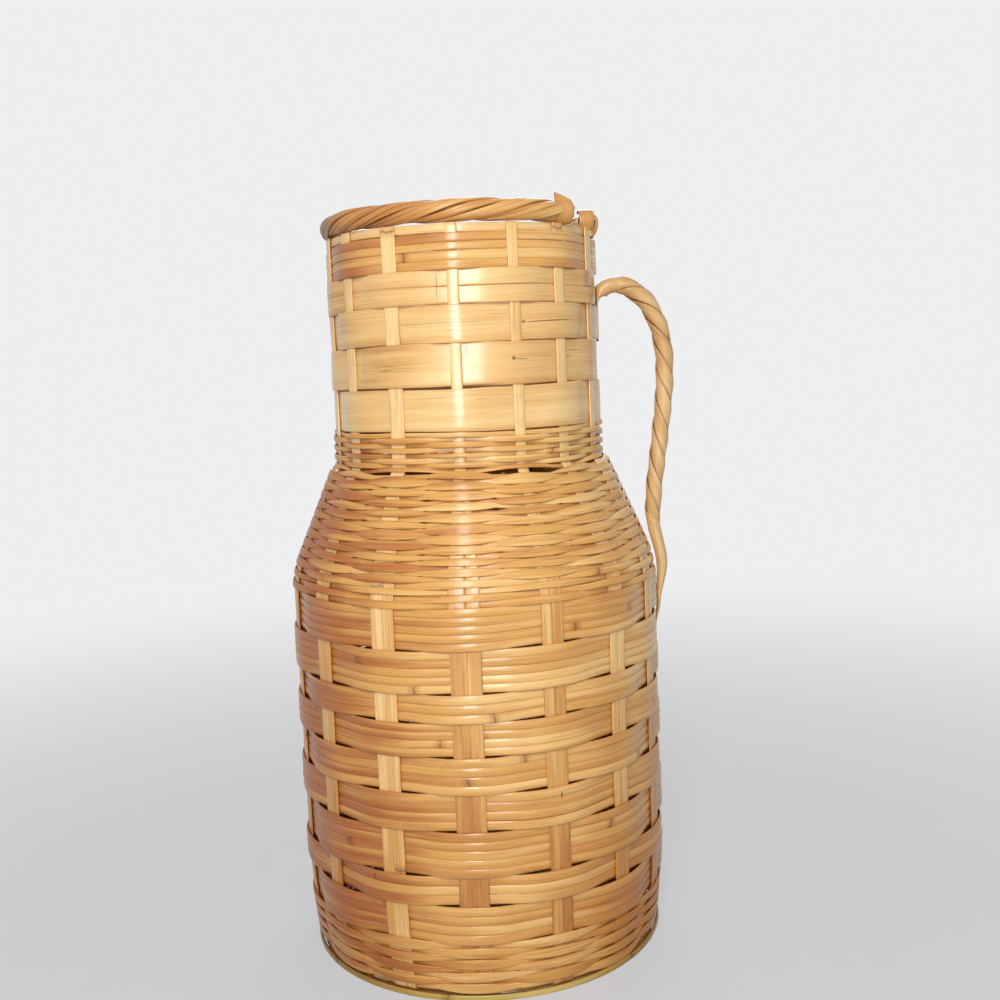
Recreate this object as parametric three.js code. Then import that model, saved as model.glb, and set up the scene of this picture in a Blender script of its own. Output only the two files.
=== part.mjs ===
// Umbrella basket: a jug-shaped stand woven from bamboo splints and rattan reeds.
// The origin is the centre of the underside, +Z is up and the handle stands towards +X.
// Lengths are in millimetres. A radius of the wall is taken to the middle of its stakes.

import * as THREE from "three";

// Wall outline
const FOOT_RADIUS = 121.5;
const BODY_RADIUS = 127.5;
const NECK_RADIUS = 92.2;
const FOOT_TUCK_HEIGHT = 80;
const SHOULDER_EASE = 14;
const SHOULDER_OVERRUN = 9.3;
const COLLAR_STEP = 7;

// Stakes: doubled splints in the body, single ones in the neck
const STAKE_COUNT = 16;
const STAKE_THICKNESS = 1.6;
const BODY_STAKE_WIDTH = 16.5;
const NECK_STAKE_WIDTH = 8;
const STAKE_TIP_SPARE = 20;
const STAKE_BEND = 1.5;
const FRONT_SPREAD = THREE.MathUtils.degToRad(3.82);

// Woven rows, from the foot up
const FOOT_COURSES = 4;
const FOOT_COURSE_HEIGHT = 8.2;
const BODY_BAND_HEIGHTS = [25.4, 19.2, 29.7, 24.7, 23.9, 22.3, 18.6, 27.6, 26.9];
const GIRDLE_COURSES = 2;
const GIRDLE_COURSE_HEIGHT = 8;
const SHOULDER_COURSES = 10;
const SHOULDER_COURSE_HEIGHT = 6.4;
const COLLAR_COURSES = 3;
const COLLAR_COURSE_HEIGHT = 8.6;
const NECK_BAND_HEIGHTS = [28.6, 27.4, 23.6, 21.5, 22.4];
const FINE_REED_THICKNESS = 2.4;
const BODY_REED_THICKNESS = 2;
const NECK_SPLINT_THICKNESS = 1.4;
const FLAT_MARGIN = 1.5;

// Foot
const MAT_THICKNESS = 2.4;
const FOOT_HOOP_LAP = 0.5;
const FOOT_HOOP_THICKNESS = 3;

// Rim
const RIM_HOOP_HEIGHT = 4.5;
const RIM_HOOP_THICKNESS = 2.2;
const RIM_SLIT = 0.2;
const ROLL_RADIUS = 7.3;
const ROLL_INSET = 2.8;
const ROLL_STRANDS = 3;
const ROLL_TWISTS = 4.5;
const ROLL_TAIL = 5;
const ROLL_BARE = 37;
const LASHING_WIDTH = 9;
const LASHING_THICKNESS = 1;

// Handle
const TONGUE_THICKNESS = 1.6;
const TONGUE_WIDTH = 9;
const TONGUE_OVERRUN = 6;
const HANDLE_CORE_RADIUS = 4.8;
const HANDLE_OVERHANG = 13.5;
const HANDLE_DROP = 43;
const ARCH_LIFT = 25;
const ARCH_FULLNESS = 63;
const WRAP_SETBACK = 26;
const WAIST_HEIGHT = 18.6;
const WAIST_STANDOFF = 14;
const TAIL_STANDOFF = 0.9;
const TAIL_SWELL = 8;
const TAIL_TIP = 3;
const WRAP_SPLINTS = 3;
const WRAP_THICKNESS = 0.9;
const WRAP_LEAD = 60;
const WRAP_GAP = 1.2;

// Fits
const CLEARANCE = 0.3;
const ROW_GAP = 0.5;
const STRAND_GAP = 0.4;

// Counts of facets
const HOOP_FACETS = 48;
const ROLL_STEPS = 48;
const ROLL_SIDES = 6;
const CORE_SIDES = 8;
const CORE_START_STEPS = 9;
const CORE_BEND_STEPS = 5;
const WRAP_STEPS = 44;
const WRAP_ARC_STEPS = 3;

const TURN = 2 * Math.PI;

// Finishes
const finish = (color, roughness) => new THREE.MeshStandardMaterial({ color, roughness, metalness: 0 });
const STAKE_SPLINT = finish(0xdcae68, 0.4);
const FINE_REED = finish(0xb9793c, 0.4);
const BODY_REED = finish(0xc4843f, 0.35);
const NECK_SPLINT = finish(0xe2b877, 0.4);
const RIM_REED = finish(0xb9763a, 0.4);
const HANDLE_SPLINT = finish(0xd9ab6b, 0.45);
const FOOT_BAMBOO = finish(0xb8994f, 0.45);

// Heights at the foot: the stakes lie on the mat and bend up inside the hoop
const stakeFootHeight = MAT_THICKNESS + CLEARANCE + STAKE_THICKNESS / 2;
const stakeBendTop = stakeFootHeight + STAKE_BEND;
const footHoopTop = stakeBendTop + FOOT_HOOP_LAP;

// Rows of the wall

// Lists the rows from the foot up, each with the heights of its lower and upper edges.
function listRows() {
  const repeat = (count, height) => new Array(count).fill(height);
  const zones = [
    ["foot_course", repeat(FOOT_COURSES, FOOT_COURSE_HEIGHT), FINE_REED_THICKNESS, FINE_REED],
    ["body_band", BODY_BAND_HEIGHTS, BODY_REED_THICKNESS, BODY_REED],
    ["girdle_course", repeat(GIRDLE_COURSES, GIRDLE_COURSE_HEIGHT), FINE_REED_THICKNESS, FINE_REED],
    ["shoulder_course", repeat(SHOULDER_COURSES, SHOULDER_COURSE_HEIGHT), FINE_REED_THICKNESS, FINE_REED],
    ["collar_course", repeat(COLLAR_COURSES, COLLAR_COURSE_HEIGHT), FINE_REED_THICKNESS, FINE_REED],
    ["neck_band", NECK_BAND_HEIGHTS, NECK_SPLINT_THICKNESS, NECK_SPLINT],
  ];
  const list = [];
  let bottom = footHoopTop + CLEARANCE;
  for (const [zone, heights, thickness, material] of zones) {
    heights.forEach((height, place) => {
      const name = `${zone}_${place + 1}`;
      list.push({ index: list.length, zone, name, thickness, material, bottom, top: bottom + height });
      bottom += height;
    });
  }
  return list;
}

const rows = listRows();

// The top row of the neck is a bundle of reeds.
rows.at(-1).material = BODY_REED;

const zoneBottom = (zone) => rows.find((row) => row.zone === zone).bottom;
const wallTop = rows.at(-1).top;
const shoulderFoot = zoneBottom("shoulder_course") - GIRDLE_COURSE_HEIGHT;
const collarFoot = zoneBottom("collar_course");
const shoulderTop = collarFoot + SHOULDER_OVERRUN;

// A ramp that leaves 0 in a corner rounded over the given share and then rises with the share.
function roundedRamp(share, ease) {
  if (share <= -ease) return 0;
  if (share < ease) return (share + ease) ** 2 / (4 * ease);
  return share;
}

// Radius of the wall's middle: a foot that swells into the body, a shoulder whose slope would meet
// the neck above the collar's foot, and a short step there from the slope to the neck.
function wallRadius(height) {
  const rise = shoulderTop - shoulderFoot;
  const ease = Math.min(SHOULDER_EASE / rise, 0.5);
  const tuck = (1 - Math.min(height / FOOT_TUCK_HEIGHT, 1)) ** 2;
  const drawnIn = (BODY_RADIUS - NECK_RADIUS) * roundedRamp((height - shoulderFoot) / rise, ease);
  const slope = BODY_RADIUS - drawnIn - (BODY_RADIUS - FOOT_RADIUS) * tuck;
  const stepFoot = collarFoot - COLLAR_STEP / 2;
  const inNeck = THREE.MathUtils.smoothstep(height, stepFoot, stepFoot + COLLAR_STEP);
  return THREE.MathUtils.lerp(slope, NECK_RADIUS, inNeck);
}

// Width of a stake: the second splint runs out inside the shoulder.
function stakeWidth(height) {
  const bottom = zoneBottom("shoulder_course");
  const top = zoneBottom("collar_course");
  const share = THREE.MathUtils.clamp((height - bottom) / (top - bottom), 0, 1);
  return THREE.MathUtils.lerp(BODY_STAKE_WIDTH, NECK_STAKE_WIDTH, share);
}

// Angle of a stake about the axis. Stake 0 carries the handle, and the front ones stand wider.
function stakeAngle(stake) {
  const even = (stake / STAKE_COUNT) * TURN;
  return even - FRONT_SPREAD * (1 - Math.cos(even));
}

// Geometry helpers

// A point at a radius and height, moved sideways along the tangent at the given angle.
function place(angle, radius, side, height) {
  const x = radius * Math.cos(angle) - side * Math.sin(angle);
  const y = radius * Math.sin(angle) + side * Math.cos(angle);
  return new THREE.Vector3(x, y, height);
}

// Skins a run of cross-sections into one closed body, as a loop or with flat ends. Each section
// lists its corners counter-clockwise for someone whom the run comes towards. Each four-cornered
// patch is split along its shorter diagonal.
function skin(sections, looped) {
  const points = sections.flat();
  const sides = sections[0].length;
  const index = [];
  const spans = looped ? sections.length : sections.length - 1;
  for (let span = 0; span < spans; span += 1) {
    const here = span * sides;
    const next = ((span + 1) % sections.length) * sides;
    for (let side = 0; side < sides; side += 1) {
      const turn = (side + 1) % sides;
      const [a, b, c, d] = [here + side, here + turn, next + turn, next + side];
      const splitFromA = points[a].distanceTo(points[c]) <= points[b].distanceTo(points[d]);
      index.push(...(splitFromA ? [a, b, c, a, c, d] : [a, b, d, b, c, d]));
    }
  }
  if (!looped) {
    const last = (sections.length - 1) * sides;
    for (let side = 1; side < sides - 1; side += 1) {
      index.push(0, side + 1, side);
      index.push(last, last + side, last + side + 1);
    }
  }
  const geometry = new THREE.BufferGeometry().setFromPoints(points);
  geometry.setIndex(index);
  geometry.computeVertexNormals();
  return geometry;
}

// Mitre vectors of a line in radius and height: a point moved along its vector by a distance
// lies that far from both neighbouring spans, outwards on a rising wall.
function mitres(line) {
  const normals = [];
  for (let span = 0; span + 1 < line.length; span += 1) {
    const along = line[span + 1].clone().sub(line[span]).normalize();
    normals.push(new THREE.Vector2(along.y, -along.x));
  }
  return line.map((point, at) => {
    const before = normals[Math.max(at - 1, 0)];
    const after = normals[Math.min(at, normals.length - 1)];
    return before.clone().add(after).divideScalar(1 + before.dot(after));
  });
}

// A flat ring with a square section, standing on the given height.
function flatHoop(inner, outer, bottom, top) {
  const profile = [[inner, bottom], [outer, bottom], [outer, top], [inner, top], [inner, bottom]];
  const points = profile.map(([radius, height]) => new THREE.Vector2(radius, height));
  return new THREE.LatheGeometry(points, HOOP_FACETS).rotateX(Math.PI / 2);
}

const basket = new THREE.Group();

function addPiece(name, geometry, material) {
  const piece = new THREE.Mesh(geometry, material);
  piece.name = name;
  basket.add(piece);
}

// Weave: a row passes outside a stake where their numbers add up to the parity of the handle's row

const wallLine = [...rows.map((row) => row.bottom), wallTop]
  .map((height) => new THREE.Vector2(wallRadius(height), height));
const wallMitres = mitres(wallLine);

// The lowest edge is cut level, so that it lies along the top of the foot hoop.
wallMitres[0].set(1 / wallMitres[0].x, 0);

const handleRow = rows.find((row) => row.name === "neck_band_3");
const passesOutside = (row, stake) => (row.index + stake - handleRow.index) % 2 === 0;

// The handle's tail runs outside the first body row that is outside its stake, from the top, and
// is held under the second.
const outerBodyRows = rows.filter((row) => row.zone === "body_band" && passesOutside(row, 0)).reverse();
const [tailOverRow, tailHoldRow] = outerBodyRows;

// Distance from the middle of a stake to the middle of a row that lies on it.
function passDistance(row, stake) {
  const onStake = STAKE_THICKNESS / 2 + CLEARANCE + row.thickness / 2;
  const holdsHandle = stake === 0 && (row === handleRow || row === tailHoldRow);
  return holdsHandle ? onStake + TONGUE_THICKNESS + CLEARANCE : onStake;
}

// A closed band that passes in turn outside and inside the stakes, flat where it crosses each.
function wovenRow(row) {
  const lower = wallLine[row.index];
  const upper = wallLine[row.index + 1];
  const trim = upper.clone().sub(lower).setLength(ROW_GAP / 2);
  const widest = Math.max(stakeWidth(row.bottom), stakeWidth(row.top), TONGUE_WIDTH);
  const halfFlat = widest / 2 + FLAT_MARGIN;
  const sections = [];
  for (let stake = 0; stake < STAKE_COUNT; stake += 1) {
    const sign = passesOutside(row, stake) ? 1 : -1;
    const middle = sign * passDistance(row, stake);
    const [inner, outer] = [middle - row.thickness / 2, middle + row.thickness / 2];
    const low = (depth) => lower.clone().addScaledVector(wallMitres[row.index], depth).add(trim);
    const high = (depth) => upper.clone().addScaledVector(wallMitres[row.index + 1], depth).sub(trim);
    const corners = [low(inner), high(inner), high(outer), low(outer)];
    for (const side of [-halfFlat, halfFlat]) {
      sections.push(corners.map((corner) => place(stakeAngle(stake), corner.x, side, corner.y)));
    }
  }
  return skin(sections, true);
}

for (const row of rows) {
  addPiece(row.name, wovenRow(row), row.material);
}

// Stakes: a foot bent in over the mat, then the line of the wall up to the rim

const rimHoopBottom = wallTop + RIM_SLIT + CLEARANCE + LASHING_THICKNESS + CLEARANCE;
const rimSeat = rimHoopBottom + RIM_HOOP_HEIGHT;

// The feet stop short of the radius where neighbours would meet at the crowded back.
function stakeLine() {
  const closest = (TURN / STAKE_COUNT) * (1 - FRONT_SPREAD);
  const meeting = BODY_STAKE_WIDTH / 2 / Math.tan(closest / 2);
  const corner = wallRadius(stakeBendTop);
  const line = [
    new THREE.Vector2(meeting + STAKE_TIP_SPARE, stakeFootHeight),
    new THREE.Vector2(corner - STAKE_BEND, stakeFootHeight),
    new THREE.Vector2(corner, stakeBendTop),
    ...wallLine,
    new THREE.Vector2(wallRadius(rimSeat), rimSeat),
  ];
  const straight = (at) => {
    const before = line[at].clone().sub(line[at - 1]).normalize();
    const after = line[at + 1].clone().sub(line[at]).normalize();
    const sameWidth = stakeWidth(line[at - 1].y) === stakeWidth(line[at + 1].y);
    return sameWidth && before.distanceTo(after) < 1e-6;
  };
  return line.filter((point, at) => at === 0 || at === line.length - 1 || !straight(at));
}

function stakeSplint(stake) {
  const line = stakeLine();
  const lineMitres = mitres(line);
  const sections = line.map((point, at) => {
    const face = (depth) => point.clone().addScaledVector(lineMitres[at], depth);
    const inner = face(-STAKE_THICKNESS / 2);
    const outer = face(STAKE_THICKNESS / 2);
    const half = stakeWidth(point.y) / 2;
    const corners = [[inner, -half], [outer, -half], [outer, half], [inner, half]];
    return corners.map(([corner, side]) => place(stakeAngle(stake), corner.x, side, corner.y));
  });
  return skin(sections, false);
}

for (let stake = 0; stake < STAKE_COUNT; stake += 1) {
  addPiece(`stake_${String(stake + 1).padStart(2, "0")}`, stakeSplint(stake), STAKE_SPLINT);
}

// Foot: a bamboo hoop round the feet of the stakes and the woven mat that they lie on

const stakeOuterFace = wallRadius(footHoopTop) + STAKE_THICKNESS / 2;
const facetSlack = 1 / Math.cos(Math.PI / HOOP_FACETS);
const footHoopInner = (Math.hypot(stakeOuterFace, BODY_STAKE_WIDTH / 2) + CLEARANCE) * facetSlack;
const footHoopOuter = footHoopInner + FOOT_HOOP_THICKNESS;
addPiece("foot_hoop", flatHoop(footHoopInner, footHoopOuter, 0, footHoopTop), FOOT_BAMBOO);

const matRadius = footHoopInner - CLEARANCE;
const mat = new THREE.CylinderGeometry(matRadius, matRadius, MAT_THICKNESS, HOOP_FACETS);
mat.rotateX(Math.PI / 2).translate(0, 0, MAT_THICKNESS / 2);
addPiece("base_mat", mat, FINE_REED);

// Rim: a hoop inside the stakes, a roll of twisted strands on top and a lashing round both

const rimHoopOuter = NECK_RADIUS - STAKE_THICKNESS / 2 - CLEARANCE;
const rimHoopInner = rimHoopOuter - RIM_HOOP_THICKNESS;
addPiece("rim_hoop", flatHoop(rimHoopInner, rimHoopOuter, rimHoopBottom, rimSeat), NECK_SPLINT);

const rollMiddle = NECK_RADIUS - ROLL_INSET;
const rollHeight = rimSeat + CLEARANCE + ROLL_RADIUS;
const lashingAngle = (stakeAngle(0) + stakeAngle(-1)) / 2;
const rollStart = lashingAngle - ROLL_TAIL / rollMiddle;
const rollEnd = rollStart + TURN - ROLL_BARE / rollMiddle;
const strandShare = Math.sin(Math.PI / ROLL_STRANDS);
const strandRadius = (ROLL_RADIUS * strandShare - STRAND_GAP / 2) / (1 + strandShare);
const strandOrbit = ROLL_RADIUS - strandRadius;

// One strand winds about the middle line of the roll while the roll goes round the mouth.
function rollStrand(strand) {
  const sections = [];
  for (let step = 0; step <= ROLL_STEPS; step += 1) {
    const angle = THREE.MathUtils.lerp(rollStart, rollEnd, step / ROLL_STEPS);
    const twist = (strand / ROLL_STRANDS) * TURN + ROLL_TWISTS * (angle - rollStart);
    const radius = rollMiddle + strandOrbit * Math.cos(twist);
    const height = rollHeight + strandOrbit * Math.sin(twist);
    const section = [];
    for (let side = 0; side < ROLL_SIDES; side += 1) {
      const around = (side / ROLL_SIDES) * TURN;
      const out = radius + strandRadius * Math.sin(around);
      section.push(place(angle, out, 0, height + strandRadius * Math.cos(around)));
    }
    sections.push(section);
  }
  return skin(sections, false);
}

for (let strand = 0; strand < ROLL_STRANDS; strand += 1) {
  addPiece(`rim_strand_${strand + 1}`, rollStrand(strand), RIM_REED);
}

// A loop with a round top over the roll and a flat bottom under the rim hoop.
function lashingOutline(outline, spread) {
  const half = ROLL_RADIUS + CLEARANCE + spread;
  const bottom = rimHoopBottom - CLEARANCE - spread;
  outline.moveTo(rollMiddle - half, bottom);
  outline.lineTo(rollMiddle + half, bottom);
  outline.absarc(rollMiddle, rollHeight, half, 0, Math.PI, false);
  outline.closePath();
  return outline;
}

const lashingShape = lashingOutline(new THREE.Shape(), LASHING_THICKNESS);
lashingShape.holes.push(lashingOutline(new THREE.Path(), 0));
const lashingOptions = { depth: LASHING_WIDTH, bevelEnabled: false, curveSegments: 12 };
const lashing = new THREE.ExtrudeGeometry(lashingShape, lashingOptions);
lashing.translate(0, 0, -LASHING_WIDTH / 2).rotateX(Math.PI / 2);
lashing.rotateZ(lashingAngle);
addPiece("rim_lashing", lashing, NECK_SPLINT);

// Handle: a core whose flat tongues are held under two rows, with splints twisted round it

// The core's line lies in the plane of stake 0: up the neck, over the arch, down to a waist
// beside the shoulder, out round the body and in again under the row that holds its tail.
function handleCurves() {
  const at = (x, z) => new THREE.Vector3(x, 0, z);
  const onStake = STAKE_THICKNESS / 2 + CLEARANCE + TONGUE_THICKNESS / 2;
  const overRow = passDistance(tailOverRow, 0) + tailOverRow.thickness / 2 + CLEARANCE;
  const neckX = (z) => wallRadius(z) + onStake;
  const tongueEnd = at(neckX(handleRow.bottom), handleRow.bottom - TONGUE_OVERRUN);
  const archStart = at(neckX(handleRow.top), handleRow.top);
  const outermost = at(BODY_RADIUS + HANDLE_OVERHANG, handleRow.top - HANDLE_DROP);
  const waistZ = zoneBottom("shoulder_course") + WAIST_HEIGHT;
  const waist = at(wallRadius(waistZ) + WAIST_STANDOFF, waistZ);
  const bulgeX = wallRadius(tailOverRow.top) + overRow + TAIL_STANDOFF + TAIL_SWELL / 2;
  const bulge = at(bulgeX, tailOverRow.top);
  const underRow = tailOverRow.bottom - CLEARANCE;
  const tip = at(wallRadius(underRow) + overRow + TAIL_TIP / 2, underRow);
  const window = underRow - tailHoldRow.top;
  const seat = at(wallRadius(tailHoldRow.top) + onStake, tailHoldRow.top + window / 3);
  const tailEnd = at(wallRadius(tailHoldRow.bottom) + onStake, tailHoldRow.bottom - TONGUE_OVERRUN);
  const bend = (from, fromRise, to, toRise) => new THREE.CubicBezierCurve3(
    from, at(from.x, from.z + fromRise), at(to.x, to.z + toRise), to);
  const descent = outermost.z - waist.z;
  const swell = waist.z - bulge.z;
  const overlap = bulge.z - tip.z;
  const tuck = tip.z - seat.z;
  return [
    new THREE.LineCurve3(tongueEnd, archStart),
    bend(archStart, ARCH_LIFT, outermost, ARCH_FULLNESS),
    bend(outermost, -descent / 3, waist, descent / 4),
    bend(waist, -swell / 3, bulge, swell / 3),
    bend(bulge, -overlap / 3, tip, overlap / 3),
    bend(tip, -tuck / 3, seat, tuck / 3),
    new THREE.LineCurve3(seat, tailEnd),
  ];
}

const coreCurves = handleCurves();
const coreLengths = coreCurves.map((curve) => curve.getLength());
const lengthTo = (count) => coreLengths.slice(0, count).reduce((sum, length) => sum + length, 0);
const wrapStart = lengthTo(1) + WRAP_SETBACK;
const wrapEnd = lengthTo(3);
const wrapDistance = (step) => THREE.MathUtils.lerp(wrapStart, wrapEnd, step / WRAP_STEPS);

// A wrap lies on the core. Its sizes come from its arc about the core's line.
const wrapRadius = HANDLE_CORE_RADIUS + CLEARANCE;
const wrapArc = TURN / WRAP_SPLINTS - WRAP_GAP / wrapRadius;
const wrapInner = wrapRadius / Math.cos(wrapArc / WRAP_ARC_STEPS / 2);
const wrapOuter = wrapInner + WRAP_THICKNESS;

// The core's bare start ends in a shoulder that the wraps butt against.
const shoulderFace = wrapStart - CLEARANCE;
const shoulderBack = shoulderFace - CLEARANCE;

// Half thickness and half width of the core from the wraps on: round, then flat.
const coreSizes = [
  [shoulderFace, HANDLE_CORE_RADIUS, HANDLE_CORE_RADIUS],
  [wrapEnd, HANDLE_CORE_RADIUS, HANDLE_CORE_RADIUS],
  [lengthTo(4), TAIL_SWELL / 2, TONGUE_WIDTH / 2],
  [lengthTo(5), TAIL_TIP / 2, TONGUE_WIDTH / 2],
  [lengthTo(6), TONGUE_THICKNESS / 2, TONGUE_WIDTH / 2],
  [lengthTo(7), TONGUE_THICKNESS / 2, TONGUE_WIDTH / 2],
];

// The bare start is a flat tongue that fills out to the size of the wraps as it leaves the stake.
function startSize(distance) {
  const { point, normal } = coreFrame(distance);
  const room = point.x - wallRadius(point.z) - STAKE_THICKNESS / 2 - CLEARANCE;
  const most = normal.x > 0 ? Math.min(room / normal.x, wrapOuter) : wrapOuter;
  const thick = Math.max(most, TONGUE_THICKNESS / 2);
  return [thick, Math.max(thick, TONGUE_WIDTH / 2)];
}

function coreSize(distance) {
  if (distance <= shoulderBack) return startSize(distance);
  const passed = coreSizes.filter(([reached]) => reached < distance).length;
  const after = THREE.MathUtils.clamp(passed, 1, coreSizes.length - 1);
  const [from, thick, wide] = coreSizes[after - 1];
  const [to, nextThick, nextWide] = coreSizes[after];
  const share = THREE.MathUtils.clamp((distance - from) / (to - from), 0, 1);
  return [THREE.MathUtils.lerp(thick, nextThick, share), THREE.MathUtils.lerp(wide, nextWide, share)];
}

// The point and the outward normal of the core's line at a distance along it.
function coreFrame(distance) {
  const passed = coreCurves.filter((entry, at) => lengthTo(at + 1) < distance).length;
  const span = Math.min(passed, coreCurves.length - 1);
  const share = THREE.MathUtils.clamp((distance - lengthTo(span)) / coreLengths[span], 0, 1);
  const curve = coreCurves[span];
  const along = curve.getTangentAt(share);
  const normal = new THREE.Vector3(0, 1, 0).cross(along);
  return { point: curve.getPointAt(share), normal };
}

// A point beside the core's line, given by its depth along the normal and its sideways place.
function besideCore(frame, depth, side) {
  const point = frame.point.clone().addScaledVector(frame.normal, depth);
  point.y += side;
  return point;
}

// Distances of the core's sections: the ends of its curves, with steps along each bend. Under the
// wraps the core is stepped as they are.
function coreDistances() {
  const between = (from, to, steps) => Array.from(
    { length: steps }, (unused, step) => THREE.MathUtils.lerp(from, to, step / steps));
  return [
    0,
    ...between(lengthTo(1), shoulderBack, CORE_START_STEPS),
    shoulderBack,
    shoulderFace,
    ...between(wrapStart, wrapEnd, WRAP_STEPS),
    ...between(wrapEnd, lengthTo(4), CORE_BEND_STEPS),
    ...between(lengthTo(4), lengthTo(5), CORE_BEND_STEPS),
    ...between(lengthTo(5), lengthTo(6), CORE_BEND_STEPS),
    lengthTo(6),
    lengthTo(7),
  ];
}

function handleCore() {
  const sections = coreDistances().map((distance) => {
    const frame = coreFrame(distance);
    const [thick, wide] = coreSize(distance);
    const section = [];
    for (let side = 0; side < CORE_SIDES; side += 1) {
      const around = ((side + 0.5) / CORE_SIDES) * TURN;
      section.push(besideCore(frame, thick * Math.cos(around), wide * Math.sin(around)));
    }
    return section;
  });
  return skin(sections, false);
}

addPiece("handle_core", handleCore(), HANDLE_SPLINT);

// A wrap is a curved splint that turns about the core at a steady lead, from the arch to the waist.
const wrapTurn = (wrap, step) => (wrap / WRAP_SPLINTS + (wrapDistance(step) - wrapStart) / WRAP_LEAD) * TURN;

function handleWrap(wrap) {
  const sections = [];
  for (let step = 0; step <= WRAP_STEPS; step += 1) {
    const frame = coreFrame(wrapDistance(step));
    const corner = (radius, share) => {
      const around = wrapTurn(wrap, step) + (share - 0.5) * wrapArc;
      return besideCore(frame, radius * Math.cos(around), radius * Math.sin(around));
    };
    const shares = Array.from({ length: WRAP_ARC_STEPS + 1 }, (unused, arc) => arc / WRAP_ARC_STEPS);
    const outside = shares.map((share) => corner(wrapOuter, share));
    const inside = shares.map((share) => corner(wrapInner, 1 - share));
    sections.push([...outside, ...inside]);
  }
  return skin(sections, false);
}

// Least gap between one turn of a wrap's middle line and the next, less the splint's own width.
function leastWrapGap() {
  const middles = [];
  for (let step = 0; step <= WRAP_STEPS; step += 1) {
    const around = wrapTurn(0, step);
    const frame = coreFrame(wrapDistance(step));
    middles.push(besideCore(frame, wrapInner * Math.cos(around), wrapInner * Math.sin(around)));
  }
  const stepsPerTurn = Math.round((WRAP_LEAD / (wrapEnd - wrapStart)) * WRAP_STEPS);
  let least = Infinity;
  for (let step = 0; step + stepsPerTurn <= WRAP_STEPS; step += 1) {
    least = Math.min(least, middles[step].distanceTo(middles[step + stepsPerTurn]));
  }
  return least - wrapArc * wrapOuter;
}

for (let wrap = 0; wrap < WRAP_SPLINTS; wrap += 1) {
  addPiece(`handle_wrap_${wrap + 1}`, handleWrap(wrap), HANDLE_SPLINT);
}
console.log(`least gap of a handle wrap to itself: ${leastWrapGap().toFixed(2)} mm`);

export default basket;
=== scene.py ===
"""Looks of the woven umbrella basket: every splint and reed of the weave, its finish and the studio.

Lengths are in millimetres until a mesh is made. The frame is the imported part's: the origin is the
centre of the underside, +Z is up, the handle stands towards +X and the front faces -Y.
"""

from functools import partial
import math

import bpy
import numpy as np
from mathutils import Matrix


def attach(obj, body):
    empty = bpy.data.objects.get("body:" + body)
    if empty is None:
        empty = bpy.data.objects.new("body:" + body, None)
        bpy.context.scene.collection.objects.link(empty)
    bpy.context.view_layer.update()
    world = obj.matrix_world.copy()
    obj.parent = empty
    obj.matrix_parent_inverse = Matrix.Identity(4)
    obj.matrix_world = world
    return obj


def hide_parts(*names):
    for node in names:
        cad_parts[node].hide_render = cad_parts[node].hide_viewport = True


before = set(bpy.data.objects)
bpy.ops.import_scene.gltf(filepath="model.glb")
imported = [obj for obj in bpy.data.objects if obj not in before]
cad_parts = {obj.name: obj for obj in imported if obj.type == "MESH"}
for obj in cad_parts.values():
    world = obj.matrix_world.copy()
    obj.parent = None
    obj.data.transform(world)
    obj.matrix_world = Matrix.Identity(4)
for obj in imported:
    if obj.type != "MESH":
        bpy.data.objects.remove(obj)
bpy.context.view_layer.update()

MM = 0.001
TURN = 2 * np.pi
UP = np.array([0, 0, 1.0])

# Wall outline and stakes, as in the part's solids
FOOT_RADIUS = 121.5
BODY_RADIUS = 127.5
NECK_RADIUS = 92.2
FOOT_TUCK_HEIGHT = 80.0
SHOULDER_EASE = 14.0
STAKE_COUNT = 16
STAKE_THICKNESS = 1.6
WEAVE_GAP = 0.3
ROW_THICKNESS = 2.0
FRONT_SPREAD = math.radians(3.82)
STAKE_FOOT_TIP = 64.5
STAKE_FOOT_HEIGHT = 3.5
STAKE_BEND = 3.5
RIM_SEAT = 492.5

# Zones of woven rows: height of the lowest edge, reeds in each course and heights of the rows
FOOT_BOTTOM = 5.8
FOOT_COURSES = [2, 2, 2, 2]
FOOT_REED_PITCH = 4.1
BODY_BOTTOM = FOOT_BOTTOM + sum(FOOT_COURSES) * FOOT_REED_PITCH
BODY_BAND_HEIGHTS = [25.4, 19.2, 29.7, 24.7, 23.9, 22.3, 18.6, 27.6, 26.9]
BODY_BAND_REEDS = [4, 3, 5, 4, 4, 4, 3, 5, 5]
GIRDLE_BOTTOM = BODY_BOTTOM + sum(BODY_BAND_HEIGHTS)
GIRDLE_COURSES = [2, 2]
GIRDLE_REED_PITCH = 4.0
SHOULDER_BOTTOM = GIRDLE_BOTTOM + sum(GIRDLE_COURSES) * GIRDLE_REED_PITCH
SHOULDER_COURSES = [2] * 10
SHOULDER_REED_PITCH = 3.2
COLLAR_BOTTOM = SHOULDER_BOTTOM + sum(SHOULDER_COURSES) * SHOULDER_REED_PITCH
COLLAR_COURSES = [3, 2, 3]
COLLAR_REED_PITCH = 3.225
NECK_BOTTOM = COLLAR_BOTTOM + sum(COLLAR_COURSES) * COLLAR_REED_PITCH
NECK_BAND_HEIGHTS = [28.6, 27.4, 23.6, 21.5, 22.4]
SHOULDER_FOOT = SHOULDER_BOTTOM - 8.0
SHOULDER_TOP = COLLAR_BOTTOM + 9.3
COLLAR_STEP = 7.0

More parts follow.
